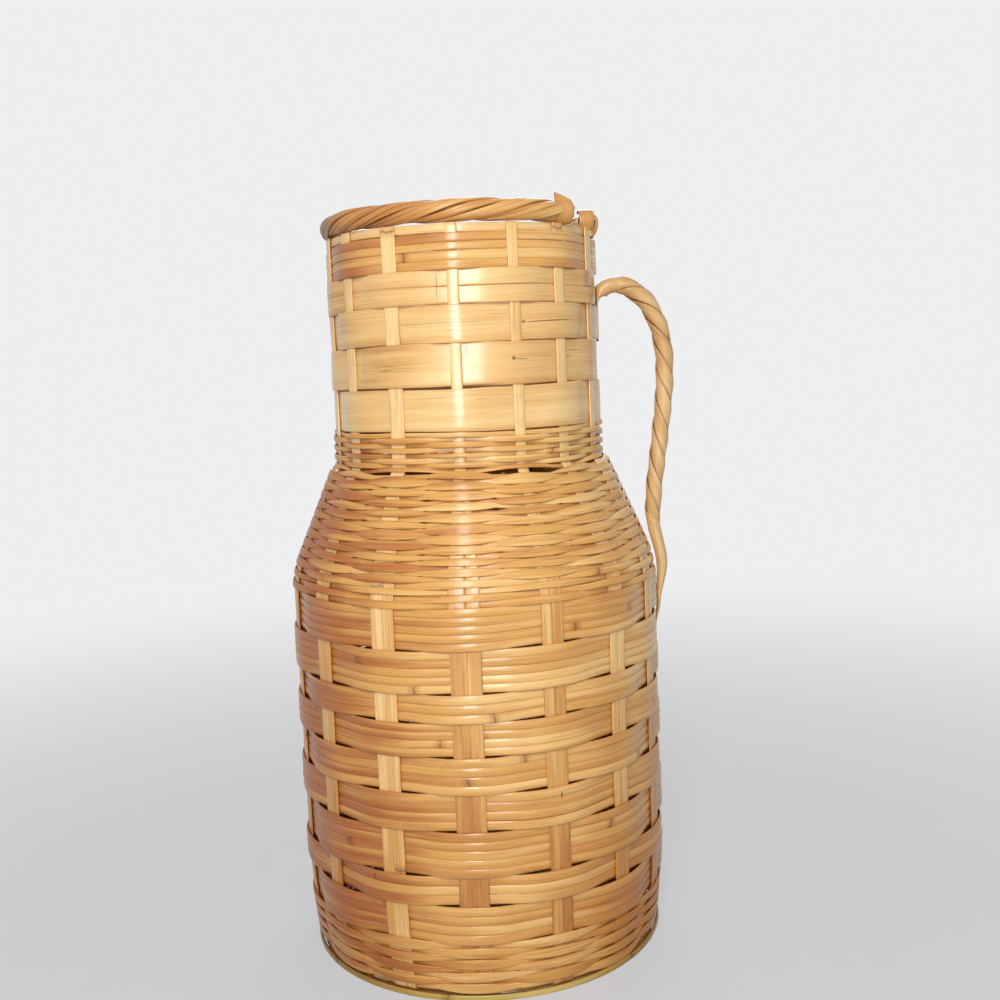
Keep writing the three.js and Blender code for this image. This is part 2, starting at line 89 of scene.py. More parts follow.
# Rim and handle, as in the part's solids
ROLL_MIDDLE = NECK_RADIUS - 2.8
ROLL_HEIGHT = 500.1
ROLL_TWISTS = 4.5
ROLL_STRANDS = 3
RIM_HOOP_HEIGHT = 489.6
LASHING_ANGLE = math.radians(-11.55)
LASHING_HEIGHT = 497.7
ROLL_START = LASHING_ANGLE - 5.0 / ROLL_MIDDLE
ROLL_END = ROLL_START + TURN - 37.0 / ROLL_MIDDLE
HANDLE_ROW_BOTTOM = NECK_BOTTOM + sum(NECK_BAND_HEIGHTS[:2])
HANDLE_ROW_TOP = HANDLE_ROW_BOTTOM + NECK_BAND_HEIGHTS[2]
TONGUE_THICKNESS = 1.6
WRAP_COUNT = 3
WRAP_LEAD = 60.0

# Foot and mat
FOOT_HOOP_HEIGHT = 2.0
MAT_MIDDLE = 1.2
MAT_RADIUS = 122.5
MAT_HOLE = 5.0
MAT_RINGS = 24
MAT_RING_PITCH = 4.8
MAT_SPOKES = 16

STEPS_PER_STAKE = 22


# Wall and weave

def wall_radius(height):
    """Radius of the wall's middle: the body's radius, less a ramp at the shoulder whose lower corner
    is rounded, less the square of the share still to go below the top of the foot's tuck. At the
    foot of the collar an eased step leads from that slope to the neck."""
    height = np.asarray(height, float)
    rise = SHOULDER_TOP - SHOULDER_FOOT
    ease = SHOULDER_EASE / rise
    share = (height - SHOULDER_FOOT) / rise
    ramp = np.where(share < ease, np.maximum(share + ease, 0) ** 2 / (4 * ease), share)
    tuck = (1 - np.minimum(height / FOOT_TUCK_HEIGHT, 1)) ** 2
    slope = BODY_RADIUS - (BODY_RADIUS - NECK_RADIUS) * ramp - (BODY_RADIUS - FOOT_RADIUS) * tuck
    stepped = np.clip((height - COLLAR_BOTTOM) / COLLAR_STEP + 0.5, 0, 1)
    return slope + (NECK_RADIUS - slope) * stepped ** 2 * (3 - 2 * stepped)


def wall_directions(height):
    """Unit vectors, in radius and height, up along the wall and out from it: the slope comes from
    the wall's radius a little above and below."""
    slope = wall_radius(height + 0.5) - wall_radius(height - 0.5)
    length = np.sqrt(1 + slope ** 2)
    up = np.stack([slope / length, 1 / length], -1)
    out = np.stack([1 / length, -slope / length], -1)
    return up, out


def unit(vectors):
    """The vectors at unit length."""
    return vectors / np.linalg.norm(vectors, axis=-1, keepdims=True)


def outward_at(angle):
    """Level unit vectors that point away from the axis at angles about it."""
    return np.stack([np.cos(angle), np.sin(angle), np.zeros_like(angle)], -1)


def tangent_at(angle):
    """Level unit vectors that point round the axis at angles about it."""
    return np.stack([-np.sin(angle), np.cos(angle), np.zeros_like(angle)], -1)


def lengths_along(line):
    """The length along a line of points, from 0 at its start."""
    return np.concatenate([[0], np.cumsum(np.linalg.norm(np.diff(line, axis=0), axis=1))])


def true_angle(even):
    """Angle about the axis for an evenly spread angle: the front stakes stand wider apart."""
    return even - FRONT_SPREAD * (1 - np.cos(even))


def wander(even, seed, size, waves=7):
    """A slow uneven drift round the basket: a sum of cosines with seeded phases, each weaker than
    the one before, that closes after a full turn."""
    rng = np.random.default_rng(seed)
    phases = rng.uniform(0, TURN, waves)
    weights = rng.uniform(0.4, 1.0, waves) / np.arange(1, waves + 1) ** 0.7
    counts = np.arange(1, waves + 1)
    return size * (weights * np.cos(np.outer(even, counts) + phases)).sum(1) / weights.sum() * 1.6


def shared_drift(even, height):
    """The drift that neighbouring rows share: three long waves whose phases turn with height."""
    return (0.55 * np.cos(even + 0.9 + height * 0.011)
            + 0.4 * np.cos(2 * even - 1.7 - height * 0.017)
            + 0.3 * np.cos(5 * even + 0.4 + height * 0.023))


# Profiles: place across the width and out of the face, each from -0.5 to 0.5

def round_profile(sides):
    """A full ellipse, counted from the upper edge through the outer face."""
    around = np.arange(sides) / sides * TURN
    return np.stack([0.5 * np.cos(around), 0.5 * np.sin(around)], -1)


def reed_profile():
    """A split reed: a gently arched outer face and a nearly flat inner one."""
    across = np.array([0.5, 0.49, 0.44, 0.27, 0.0, -0.27, -0.44, -0.49, -0.5, -0.42, 0.0, 0.42])
    out = np.array([-0.05, 0.2, 0.36, 0.46, 0.5, 0.46, 0.36, 0.2, -0.05, -0.44, -0.5, -0.44])
    return np.stack([across, out], -1)


def rounded_reed_profile():
    """A split reed whose outer face is a parabola: half a thickness less 1.45 times the square of
    the place across."""
    across = np.array([0.5, 0.49, 0.43, 0.33, 0.18, 0.0, -0.18, -0.33, -0.43, -0.49, -0.5,
                       -0.42, 0.0, 0.42])
    out = 0.5 - 1.45 * across ** 2
    out[[0, 10]] = -0.1
    out[11:] = [-0.44, -0.5, -0.44]
    return np.stack([across, out], -1)


def splint_profile():
    """A flat splint with eased edges and a slightly crowned face."""
    across = np.array([0.5, 0.494, 0.472, 0.38, 0.19, 0.0, -0.19, -0.38, -0.472, -0.494, -0.5,
                       -0.49, -0.3, 0.0, 0.3, 0.49])
    out = np.array([-0.1, 0.2, 0.36, 0.42, 0.47, 0.5, 0.47, 0.42, 0.36, 0.2, -0.1,
                    -0.36, -0.46, -0.5, -0.46, -0.36])
    return np.stack([across, out], -1)


# Strands: grids of points with the place along and across for the grain

def strand(points, across, tint, closed, edged=True):
    """One strand ready for a mesh: a grid of points, its length along the middle of the section,
    its place across in millimetres, its own tint and whether it has two edges."""
    middle = points.mean(1)
    along = lengths_along(np.concatenate([middle, middle[:1]]) if closed else middle)
    return {"points": points, "along": along, "across": across, "tint": tint, "closed": closed,
            "edged": edged}


def woven_strand(level, parity, width, thickness, swing, seed, profile, soft, rough, swell=0.0,
                 sag=0.0, proud=0.0, squeeze=0.0, squeeze_to=0.0, uneven=7, dip=None):
    """A reed that goes round the wall, outside one stake and inside the next. The middle line is
    the wall's radius plus a softened cosine of eight times the angle, times the swing, and stands
    further out by the proud length over a stake. It drifts up and down by the rough length, in as
    many waves as uneven says. The section is the profile carried along it, wider by the swell where
    it lies on a stake, and drawn towards a height by the squeeze where it passes behind one. A dip
    (angle, reach, depth) lowers its upper edge by a raised cosine."""
    even = np.arange(STAKE_COUNT * STEPS_PER_STAKE) / (STAKE_COUNT * STEPS_PER_STAKE) * TURN
    wave = np.cos(even * STAKE_COUNT / 2 + np.pi * parity)
    pinch = 1 - squeeze * (1 - wave) / 2
    height = squeeze_to + (level - squeeze_to) * pinch
    height = height + shared_drift(even, level) + wander(even, seed, rough, uneven)
    up, out = wall_directions(height)
    offset = swing * np.tanh(soft * wave) / np.tanh(soft) - sag * (1 - wave ** 2)
    offset = offset + proud * (1 + wave) / 2
    offset = offset + wander(even, seed + 7, 0.12)
    spread = width * pinch * (1 + swell * np.abs(wave) ** 0.8)
    spread = spread * (1 + wander(even, seed + 3, 0.25 * rough, uneven))
    if dip:
        away = np.clip((even - dip[0]) / dip[1], -1, 1)
        lowered = dip[2] * (0.5 + 0.5 * np.cos(np.pi * away))
        spread = spread - lowered
        height = height - lowered / 2
    lean = wander(even, seed + 5, 0.03)[:, None]
    across = spread[:, None] * profile[None, :, 0]
    depth = np.broadcast_to(thickness * profile[None, :, 1], across.shape)
    leant_across = across * np.cos(lean) - depth * np.sin(lean)
    leant_depth = offset[:, None] + across * np.sin(lean) + depth * np.cos(lean)
    radius = wall_radius(height)[:, None] + out[:, :1] * leant_depth + up[:, :1] * leant_across
    rise = height[:, None] + out[:, 1:] * leant_depth + up[:, 1:] * leant_across
    angle = true_angle(even)[:, None]
    points = np.stack([radius * np.cos(angle), radius * np.sin(angle), rise], -1)
    return strand(points, across, np.random.default_rng(seed + 11).uniform(), True)


def swept_strand(path, side, out, width, thickness, profile, tint, closed=False):
    """A profile carried along a path of points: each section point is the path's point plus its
    place across times the side vector and its depth times the out vector. One vector, width or
    thickness may serve the whole path."""
    side = np.broadcast_to(side, path.shape)
    out = np.broadcast_to(out, path.shape)
    width = np.broadcast_to(width, len(path))
    thickness = np.broadcast_to(thickness, len(path))
    across = width[:, None] * profile[None, :, 0]
    depth = thickness[:, None] * profile[None, :, 1]
    points = path[:, None] + across[..., None] * side[:, None] + depth[..., None] * out[:, None]
    return strand(points, across, tint, closed)


def square_to(path, out):
    """The side and out vectors of a path, from vectors that point roughly out: what lies along the
    path is taken off, and the side is at right angles to both."""
    along = unit(np.gradient(path, axis=0))
    out = unit(out - (out * along).sum(1, keepdims=True) * along)
    return np.cross(along, out), out


def grid_faces(rings, sides, closed, first):
    """Corner numbers of the four-sided faces between neighbouring rings of a grid, and the rings
    and sides that their corners come from, counted past the seam."""
    spans = rings if closed else rings - 1
    ring, side = np.meshgrid(np.arange(spans), np.arange(sides), indexing="ij")
    ring_corners = np.stack([ring, ring, ring + 1, ring + 1], -1).reshape(-1, 4)
    side_corners = np.stack([side, side + 1, side + 1, side], -1).reshape(-1, 4)
    faces = first + (ring_corners % rings) * sides + side_corners % sides
    return faces, ring_corners, side_corners


def make_piece(name, strands, finish, slot, *nodes):
    """Joins strands into one mesh piece that rides on the body and stands for the given nodes. The
    grain map holds metres along and across each strand; open strands get flat ends."""
    vertices, quads, ends, uv, end_uv, tints, edges = [], [], [], [], [], [], []
    count = 0
    for one in strands:
        points = one["points"]
        rings, sides = points.shape[:2]
        faces, ring_corners, side_corners = grid_faces(rings, sides, one["closed"], count)
        across = np.broadcast_to(one["across"], (rings, sides))
        u = one["along"][ring_corners]
        v = across[ring_corners % rings, side_corners % sides]
        quads.append(faces)
        uv.append(np.stack([u, v], -1).reshape(-1, 2))
        vertices.append(points.reshape(-1, 3))
        tints.append(np.full(rings * sides, one["tint"]))
        widest = np.abs(across).max(1, keepdims=True)
        edges.append((one["edged"] * across / np.maximum(widest, 1e-6)).reshape(-1))
        if not one["closed"]:
            start = count + np.arange(sides)[::-1]
            stop = count + (rings - 1) * sides + np.arange(sides)
            ends += [start, stop]
            for ring, order in ((0, slice(None, None, -1)), (rings - 1, slice(None))):
                length = np.full(sides, one["along"][ring])
                end_uv.append(np.stack([length, across[ring][order]], -1))
        count += rings * sides
    vertices = np.concatenate(vertices) * MM
    quads = np.concatenate(quads)
    loops = np.concatenate([quads.reshape(-1), *ends]) if ends else quads.reshape(-1)
    totals = np.concatenate([np.full(len(quads), 4), [len(end) for end in ends]]).astype(np.int32)
    starts = np.concatenate([[0], np.cumsum(totals)[:-1]]).astype(np.int32)
    mesh = bpy.data.meshes.new(name)
    mesh.vertices.add(len(vertices))
    mesh.vertices.foreach_set("co", vertices.astype(np.float32).reshape(-1))
    mesh.loops.add(len(loops))
    mesh.loops.foreach_set("vertex_index", loops.astype(np.int32))
    mesh.polygons.add(len(totals))
    mesh.polygons.foreach_set("loop_start", starts)
    mesh.polygons.foreach_set("loop_total", totals)
    mesh.update(calc_edges=True)
    grain = mesh.uv_layers.new(name="grain")
    all_uv = np.concatenate(uv + end_uv) * MM
    grain.data.foreach_set("uv", all_uv.astype(np.float32).reshape(-1))
    for label, values in (("tint", tints), ("edge", edges)):
        attribute = mesh.attributes.new(label, "FLOAT", "POINT")
        attribute.data.foreach_set("value", np.concatenate(values).astype(np.float32))
    smooth = np.ones(len(totals), bool)
    smooth[len(quads):] = False
    mesh.polygons.foreach_set("use_smooth", smooth)
    mesh.validate()
    mesh.materials.append(finish)
    piece = bpy.data.objects.new(name, mesh)
    bpy.context.scene.collection.objects.link(piece)
    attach(piece, "root")
    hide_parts(*nodes)


# Finishes

def node_adder(tree):
    """A helper that adds a shader node to a tree, with its settings and inputs. An input goes by
    its name or, after an underscore, by its number."""
    def add(kind, settings=None, **inputs):
        node = tree.nodes.new("ShaderNode" + kind)
        for key, value in (settings or {}).items():
            setattr(node, key, value)
        for key, value in inputs.items():
            place = int(key[1:]) if key[0] == "_" else key
            if isinstance(value, bpy.types.NodeSocket):
                tree.links.new(value, node.inputs[place])
            else:
                node.inputs[place].default_value = value
        return node

    return add


def nodes_of(name):
    """A new node material with its tree, shader and node helper."""
    finish = bpy.data.materials.new(name)
    finish.use_nodes = True
    tree = finish.node_tree
    return finish, tree, tree.nodes["Principled BSDF"], node_adder(tree)


def math_node(add, operation, first, second=0.0, third=0.0):
    """The result of one arithmetic step on values or sockets."""
    return add("Math", {"operation": operation}, _0=first, _1=second, _2=third).outputs[0]


def blend_colours(add, share, first, second, how="MIX"):
    """Two colours blended by a share."""
    first, second = ((*value, 1.0) if isinstance(value, tuple) else value for value in (first, second))
    return add("Mix", {"data_type": "RGBA", "blend_type": how}, _0=share, _6=first,
               _7=second).outputs[2]


def ramp_node(add, value, low, high, to_low=0.0, to_high=1.0):
    """A value stretched from one range to another and kept inside it, with eased ends."""
    return add("MapRange", {"interpolation_type": "SMOOTHSTEP"}, _0=value, _1=low, _2=high,
               _3=to_low, _4=to_high).outputs[0]


def cane_finish(name, pale, mid, dark, streak=0.4, fibre=0.3, joints=0.12, joint_share=0.4,
                splits=0.0, edge_dark=0.35, roughness=(0.26, 0.42), coat=0.12, browned=0.6,
                paler_up=0.0, marks=(), far_end_shade=0.0):
    """Varnished bamboo or rattan. The colour goes from pale to mid to dark with the strand's own
    tint and with streaks along the grain; thin fibres, joint marks across and splits along darken
    it; broad patches of the object are a little browner, most towards -X. The edges of each
    strand are darker, partly browner cut edges and partly painted shade where strands meet, and
    painted shade darkens it low down on the sides, most towards +X. Stakes get paler up the neck
    and darker low down. Marks are dark ovals on the front: place along X and Z, half width, half
    height, slope and strength. The last share paints shade that greys the far end towards -X."""
    finish, tree, shader, add = nodes_of(name)
    calc = partial(math_node, add)
    ramp = partial(ramp_node, add)
    blend = partial(blend_colours, add)
    grain = add("UVMap", {"uv_map": "grain"}).outputs[0]
    parts = add("SeparateXYZ", None, _0=grain).outputs
    along, across = parts[0], parts[1]
    tint = add("Attribute", {"attribute_name": "tint"}).outputs["Fac"]
    edge = add("Attribute", {"attribute_name": "edge"}).outputs["Fac"]
    own = calc("MULTIPLY", tint, 61.7)

    def grain_noise(along_scale, across_scale, detail, rough):
        """Noise stretched along the strand, different on each strand."""
        spot = add("CombineXYZ", None, _0=calc("MULTIPLY_ADD", along, along_scale, own),
                   _1=calc("MULTIPLY", across, across_scale), _2=own).outputs[0]
        return add("TexNoise", None, Vector=spot, Scale=1.0, Detail=detail,
                   Roughness=rough).outputs["Fac"]

    def shade(share):
        """The dark colour, darker still."""
        return tuple(share * part for part in dark)

    broad = grain_noise(9.0, 170.0, 2.0, 0.5)
    fine = grain_noise(26.0, 1500.0, 3.0, 0.6)
    hair = grain_noise(60.0, 4200.0, 2.0, 0.6)
    place = add("TexCoord").outputs["Object"]
    where = add("SeparateXYZ", None, _0=place).outputs
    patch = add("TexNoise", None, Vector=place, Scale=13.0, Detail=2.0, Roughness=0.5)
    patch = patch.outputs["Fac"]

    # Colour: own tint, streaks, browner patches, fibres
    level = calc("MULTIPLY_ADD", tint, 0.3, 0.17)
    level = calc("MULTIPLY_ADD", ramp(broad, 0.28, 0.72, -0.5, 0.5), streak, level)
    level = calc("MULTIPLY_ADD", ramp(patch, 0.3, 0.7, -0.5, 0.5), 0.35, level)
    side = calc("MULTIPLY_ADD", patch, 0.06, where[0])
    level = calc("MULTIPLY_ADD", ramp(side, -0.09, 0.07, 1.0, 0.0), browned, level)
    if paler_up:
        level = calc("MULTIPLY_ADD", ramp(where[2], 0.27, 0.37), -paler_up, level)
        level = calc("MULTIPLY_ADD", ramp(where[2], 0.03, 0.2, 0.35, 0.0), tint, level)
    colour = blend(ramp(level, 0.0, 0.5), pale, mid)
    colour = blend(ramp(level, 0.5, 1.0), colour, dark)
    thread = calc("MULTIPLY", ramp(fine, 0.5, 0.68), fibre)
    colour = blend(thread, colour, dark, "MULTIPLY")
    gleam = calc("MULTIPLY", ramp(hair, 0.55, 0.75), fibre * 0.6)
    colour = blend(gleam, colour, pale)

    # Joints of the cane: a thin dark line with a fainter stain beside it, at uneven places
    spot = calc("MULTIPLY_ADD", along, 1 / joints, calc("MULTIPLY", tint, 17.3))
    cell = add("CombineXYZ", None, _0=calc("FLOOR", spot), _1=own).outputs[0]
    luck = add("TexWhiteNoise", {"noise_dimensions": "2D"}, Vector=cell).outputs
    shift = calc("MULTIPLY_ADD", luck["Value"], 0.6, 0.2)
    reach = calc("SUBTRACT", calc("FRACT", spot), shift)
    bent = calc("MULTIPLY_ADD", ramp(broad, 0.3, 0.7, -0.5, 0.5), 0.0016 / joints, reach)
    gap = calc("MULTIPLY", calc("ABSOLUTE", bent), joints)
    chosen = calc("LESS_THAN", luck["Color"], joint_share)
    line = calc("MULTIPLY", ramp(gap, 0.0004, 0.0012, 1.0, 0.0), chosen)
    stain = calc("MULTIPLY", ramp(gap, 0.001, 0.006, 0.45, 0.0), chosen)
    colour = blend(stain, colour, dark, "MULTIPLY")
    colour = blend(calc("MULTIPLY", line, 0.75), colour, shade(0.35))

    # Splits along wide splints
    crack = 0.0
    if splits:
        torn = grain_noise(6.0, 330.0, 1.0, 0.4)
        thin = calc("ABSOLUTE", calc("SUBTRACT", torn, 0.5))
        held = ramp(grain_noise(7.0, 60.0, 1.0, 0.4), 0.54, 0.62)
        crack = calc("MULTIPLY", ramp(thin, 0.002, 0.012, 1.0, 0.0), held)
        colour = blend(calc("MULTIPLY", crack, splits), colour, shade(0.3))

    # Marks at given places of the front, and painted grey shade at the far end towards -X
    front = calc("LESS_THAN", where[1], 0.0)
    for x, z, wide, tall, slope, strength in marks:
        aside = calc("MULTIPLY_ADD", where[0], 1 / (wide * MM), -x / wide)
        above = calc("MULTIPLY_ADD", where[2], 1 / (tall * MM), -z / tall)
        above = calc("MULTIPLY_ADD", aside, -slope * wide / tall, above)
        oval = add("CombineXYZ", None, _0=aside, _1=above).outputs[0]
        far = add("VectorMath", {"operation": "LENGTH"}, _0=oval).outputs["Value"]
        mark = calc("MULTIPLY", ramp(far, 0.5, 1.0, strength, 0.0), front)
        colour = blend(mark, colour, shade(0.25))
    # Painted shade: the far end towards -X greys where the rim turns round the back
    if far_end_shade:
        grey = ramp(side, -0.066, -0.046, far_end_shade, 0.0)
        colour = blend(grey, colour, (0.17, 0.15, 0.085))

    # Painted shade low down on the sides, most towards +X and less towards -X
    side_shade = calc("MAXIMUM", ramp(where[0], 0.015, 0.1), ramp(where[0], -0.1, -0.03, 0.6, 0.0))
    side_shade = calc("MULTIPLY", side_shade, ramp(where[2], 0.02, 0.28, 1.0, 0.0))
    colour = blend(side_shade, colour, (0.72, 0.53, 0.30), "MULTIPLY")

    # Edges: darker at each strand's edges, partly browner cut edges and partly painted shade where
    # strands meet
    edge_browning_and_shade = calc("POWER", calc("ABSOLUTE", edge), 5.0)
    colour = blend(calc("MULTIPLY", edge_browning_and_shade, edge_dark), colour, dark, "MULTIPLY")
    tree.links.new(colour, shader.inputs["Base Color"])

    # Gloss and relief
    sheen = calc("MULTIPLY_ADD", fine, 0.5, calc("MULTIPLY", patch, 0.5))
    tree.links.new(ramp(sheen, 0.35, 0.65, *roughness), shader.inputs["Roughness"])
    shader.inputs["Specular IOR Level"].default_value = 0.3
    shader.inputs["Coat Weight"].default_value = coat
    shader.inputs["Coat Roughness"].default_value = 0.17
    raised = calc("MULTIPLY_ADD", fine, 0.6, calc("MULTIPLY", hair, 0.3))
    relief = calc("SUBTRACT", raised, calc("MULTIPLY_ADD", line, 0.8, crack))
    bump = add("Bump", None, Strength=0.25, Distance=0.0006, Height=relief)
    tree.links.new(bump.outputs[0], shader.inputs["Normal"])
    return finish


# Colours of the cane, and dark marks on the front: place along X and Z, half width, half height,
# slope and strength
REED_PALE = (0.84, 0.54, 0.20)
REED_MID = (0.68, 0.355, 0.092)
REED_DARK = (0.44, 0.140, 0.024)
STRAW_PALE = (0.88, 0.61, 0.27)
STRAW_MID = (0.79, 0.49, 0.18)
STRAW_DARK = (0.58, 0.29, 0.075)

NECK_MARKS = [(30.8, 407.4, 1.6, 1.5, 0, 0.85), (36.0, 406.8, 5.5, 0.6, -0.05, 0.55),
              (0.9, 413.5, 1.4, 4.6, 0.1, 0.45), (-15.8, 453.4, 0.6, 11.5, 0, 0.55),
              (55.0, 430.5, 19.5, 0.6, 0.04, 0.8), (38.0, 430.2, 1.6, 1.4, 0, 0.7),
              (-7.0, 390.9, 38.0, 1.0, 0.03, 0.7)]
BODY_MARKS = [(48.9, 132.5, 0.8, 3.0, 0.1, 0.7), (-72.7, 80.2, 0.8, 3.2, 0, 0.7),
              (46.0, 86.6, 0.8, 3.0, 0.1, 0.7)]

body_finish = cane_finish("body_reed_varnish", REED_PALE, REED_MID, REED_DARK, joints=0.21,
                          joint_share=0.35, coat=0.55, roughness=(0.42, 0.56), edge_dark=0.3,
                          marks=BODY_MARKS)
fine_finish = cane_finish("fine_reed_varnish", REED_PALE, REED_MID, REED_DARK, joints=0.25,
                          joint_share=0.25, streak=0.55, fibre=0.45, coat=0.35, edge_dark=0.15,
                          roughness=(0.45, 0.6))
neck_finish = cane_finish("neck_splint_varnish", STRAW_PALE, STRAW_MID, STRAW_DARK, splits=0.6,
                          joints=0.3, joint_share=0.3, edge_dark=0.3, browned=0.15,
                          roughness=(0.36, 0.5), coat=0.65, marks=NECK_MARKS)
stake_finish = cane_finish("stake_splint_varnish", STRAW_PALE, (0.69, 0.37, 0.105),
                           (0.50, 0.21, 0.048), streak=0.45, fibre=0.45, joints=0.2, edge_dark=0.2,
                           browned=0.15, paler_up=0.35, roughness=(0.36, 0.5), coat=0.55)
# The rim's finish greys its far end towards -X with painted shade
rim_finish = cane_finish("rim_reed_varnish", REED_PALE, (0.64, 0.31, 0.09), (0.44, 0.18, 0.045),
                         joints=0.2, joint_share=0.25, edge_dark=0.5, far_end_shade=0.75)
handle_finish = cane_finish("handle_splint_varnish", (0.77, 0.53, 0.26), (0.65, 0.40, 0.165),
                            (0.46, 0.235, 0.075), joints=0.09, edge_dark=0.75, fibre=0.4)
foot_finish = cane_finish("foot_bamboo_varnish", (0.66, 0.50, 0.16), (0.52, 0.36, 0.09),
                          (0.36, 0.21, 0.05), joints=0.16, joint_share=0.8)

reed = reed_profile()
rounded_reed = rounded_reed_profile()
splint = splint_profile()


# Woven rows

def fine_rows(zone, bottom, pitch, groups, seed, first_parity, width, top_dip=None, **shape):
    """Fine reeds that alternate one by one, each a little wider or narrower than the width, with a
    group of them for each course of the solids. The top reed may have a dip."""
    reeds = sum(groups)
    number = 0
    own_width = np.random.default_rng(seed).uniform(0.88, 1.12, reeds) * width
    for course, size in enumerate(groups):
        strands = []
        for place in range(number, number + size):
            dip = top_dip if place == reeds - 1 else None
            strands.append(woven_strand(bottom + (place + 0.5) * pitch, place + first_parity,
                                        own_width[place], seed=seed + 40 * place, profile=reed,
                                        dip=dip, **shape))
        number += size
        name = f"{zone}_{course + 1}"
        make_piece(f"{name}_reeds", strands, fine_finish, "fine_reed", name)


fine_rows("foot_course", FOOT_BOTTOM, FOOT_REED_PITCH, FOOT_COURSES, seed=1000, first_parity=0,
          width=4.1, thickness=1.4, swing=1.45, swell=0.75, soft=0.7, rough=0.8, uneven=24)
fine_rows("girdle_course", GIRDLE_BOTTOM, GIRDLE_REED_PITCH, GIRDLE_COURSES, seed=2000, first_parity=1,
          width=4.3, thickness=1.4, swing=1.5, swell=0.12, soft=1.0, rough=0.5, uneven=26)
fine_rows("shoulder_course", SHOULDER_BOTTOM, SHOULDER_REED_PITCH, SHOULDER_COURSES, seed=3000,
          first_parity=1, width=3.45, thickness=1.2, swing=1.3, proud=0.4, swell=0.8, soft=0.6,
          rough=0.9, uneven=22, top_dip=(math.radians(299.0), math.radians(27.0), 2.2))
fine_rows("collar_course", COLLAR_BOTTOM, COLLAR_REED_PITCH, COLLAR_COURSES, seed=5000, first_parity=1,
          width=3.5, thickness=1.2, swing=1.5, proud=0.9, swell=0.05, soft=1.0, rough=0.35, uneven=26)

band_bottom = BODY_BOTTOM
for band, (tall, reeds) in enumerate(zip(BODY_BAND_HEIGHTS, BODY_BAND_REEDS)):
    top = band_bottom + tall
    pitch = tall / reeds
    strands = []
    for place in range(reeds):
        level = band_bottom + (place + 0.5) * pitch
        seed = 6000 + 300 * band + 37 * place
        strands.append(woven_strand(level, band, pitch + 0.1, 1.7, 1.75, seed, rounded_reed, soft=1.3,
                                    rough=0.12, sag=0.1, squeeze=0.02, squeeze_to=top))
    name = f"body_band_{band + 1}"
    make_piece(f"{name}_reeds", strands, body_finish, "body_reed", name)
    band_bottom = top

# Shares of the strands, from the lower edge up, that lie side by side in each neck band, and the
# place where the lowest band dips away from the next. The top band is a bundle of narrow reeds.
NECK_SPLITS = [[1.0], [1.0], [1.0], [0.52, 0.48], [0.25, 0.27, 0.23, 0.25]]
NECK_DIPS = {0: (math.radians(265.0), math.radians(30.0), 1.9)}
band_bottom = NECK_BOTTOM
for band, (tall, shares) in enumerate(zip(NECK_BAND_HEIGHTS, NECK_SPLITS)):
    narrow = len(shares) > 2
    profile, thickness = (reed, 1.5) if narrow else (splint, 1.2)
    finish, slot = (body_finish, "body_reed") if narrow else (neck_finish, "neck_splint")
    strands = []
    edge = band_bottom
    for place, share in enumerate(shares):
        wide = share * tall
        seed = 9000 + 300 * band + 37 * place
        strands.append(woven_strand(edge + wide / 2, band, wide + 0.2, thickness, 1.45, seed, profile,
                                    soft=0.65, rough=0.22, sag=0.1, dip=NECK_DIPS.get(band)))
        edge += wide
    name = f"neck_band_{band + 1}"
    make_piece(f"{name}_splints", strands, finish, slot, name)
    band_bottom += tall


# Stakes: the height in which one narrows, and how far its second splint goes up the shoulder
STAKE_NARROWING = 66.0
SECOND_SPLINT_TOP = SHOULDER_BOTTOM + 55


def stake_path(top):
    """Radius and height along a stake: the foot lies on the mat, turns up in a quarter circle and
    follows the wall to the given height. With it goes the direction out of the splint's face."""
    wall_start = STAKE_FOOT_HEIGHT + STAKE_BEND
    corner = float(wall_radius(wall_start)) - STAKE_BEND
    foot = np.linspace(STAKE_FOOT_TIP, corner, 7)[:-1]
    turn = np.linspace(-np.pi / 2, 0, 6)[:-1]
    wall = np.linspace(wall_start, top, 150)
    radius = np.concatenate([foot, corner + STAKE_BEND * np.cos(turn), wall_radius(wall)])
    height = np.concatenate([np.full(6, STAKE_FOOT_HEIGHT),
                             wall_start + STAKE_BEND * np.sin(turn), wall])
    line = np.stack([radius, height], -1)
    along = unit(np.gradient(line, axis=0))
    return line, np.stack([along[:, 1], -along[:, 0]], -1)


def stake_splint(angle, shifts, top, seed, tint, begin, settle):
    """A splint of a stake, with the profile carried along the stake's path. Its sideways place and
    its width are a pair that goes in a straight line, up the shoulder, from where it begins to where
    it settles. The stake's own shifts and a slow sine sway are added to its place."""
    line, out = stake_path(top)
    height = line[:, 1]
    through = np.clip((height - SHOULDER_BOTTOM) / STAKE_NARROWING, 0, 1)
    place, width = (first + (last - first) * through for first, last in zip(begin, settle))
    rng = np.random.default_rng(seed)
    sway = 0.35 * np.sin(height * rng.uniform(0.012, 0.02) + rng.uniform(0, TURN))
    place = place + sway + np.interp(height, [0, SHOULDER_BOTTOM, COLLAR_BOTTOM], shifts)
    outward = outward_at(angle)
    tangent = tangent_at(angle)
    path = line[:, :1] * outward + place[:, None] * tangent + line[:, 1:] * UP
    face = out[:, :1] * outward + out[:, 1:] * UP
    return swept_strand(path, -tangent, face, width, STAKE_THICKNESS - 0.2, splint, tint)


